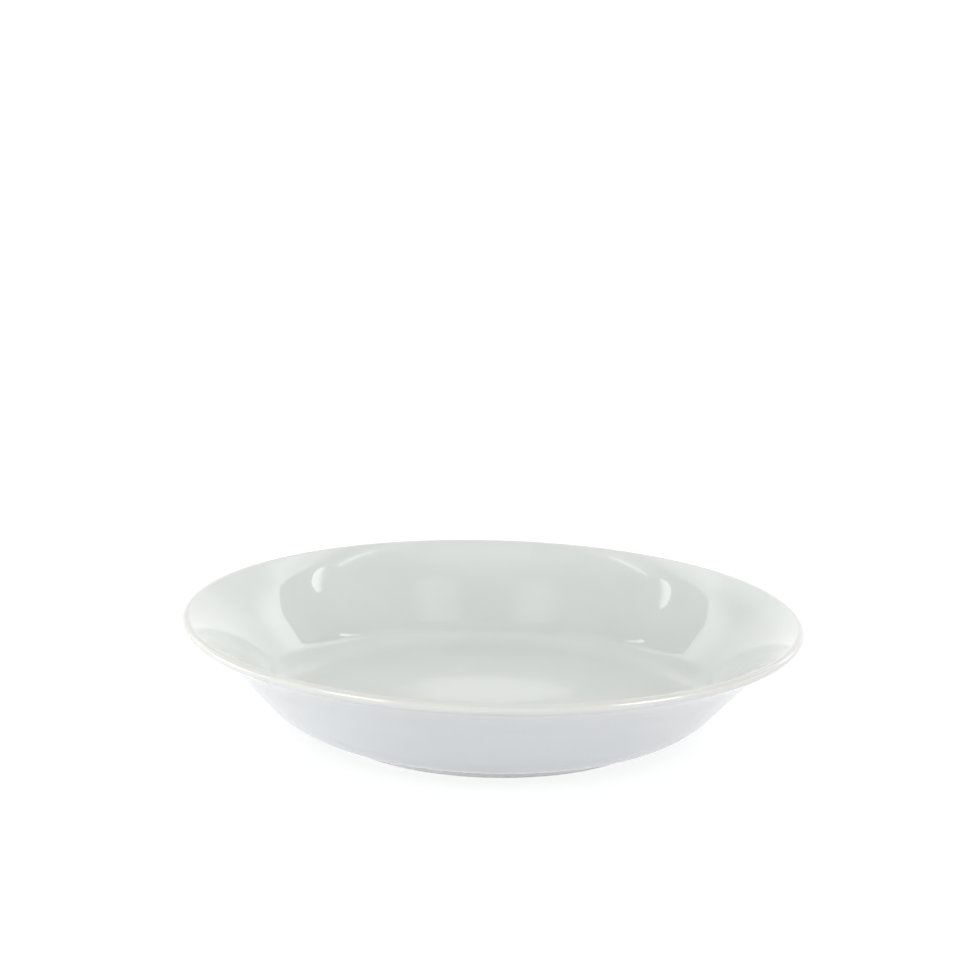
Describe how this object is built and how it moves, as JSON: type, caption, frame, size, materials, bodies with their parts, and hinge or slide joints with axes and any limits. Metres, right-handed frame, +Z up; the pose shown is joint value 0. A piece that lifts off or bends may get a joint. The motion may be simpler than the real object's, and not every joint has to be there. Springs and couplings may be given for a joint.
{
  "type": "deep coupe plate",
  "caption": "Round deep plate in glazed white porcelain: dished floor, rounded corner, steep wall flaring to a rounded cream lip, low bare foot ring. Holds soup, pasta or salad.",
  "frame": {"origin": "centre of the foot ring's resting face, on the table", "axes": "+Z up along the plate's axis of turning; X and Y level and alike, the picture is seen from -Y"},
  "size_m": [0.23, 0.23, 0.0435],
  "materials": {
    "bare_clay": "fine matte fired clay, unglazed",
    "white_glaze": "smooth gloss, cool white",
    "cream_glaze": "smooth gloss, pale cream"
  },
  "bodies": {
    "root": {"porcelain_body": "bare_clay", "face_glaze": "white_glaze", "lip_band": "cream_glaze", "back_glaze": "white_glaze", "base_glaze": "white_glaze"}
  },
  "joints": []
}
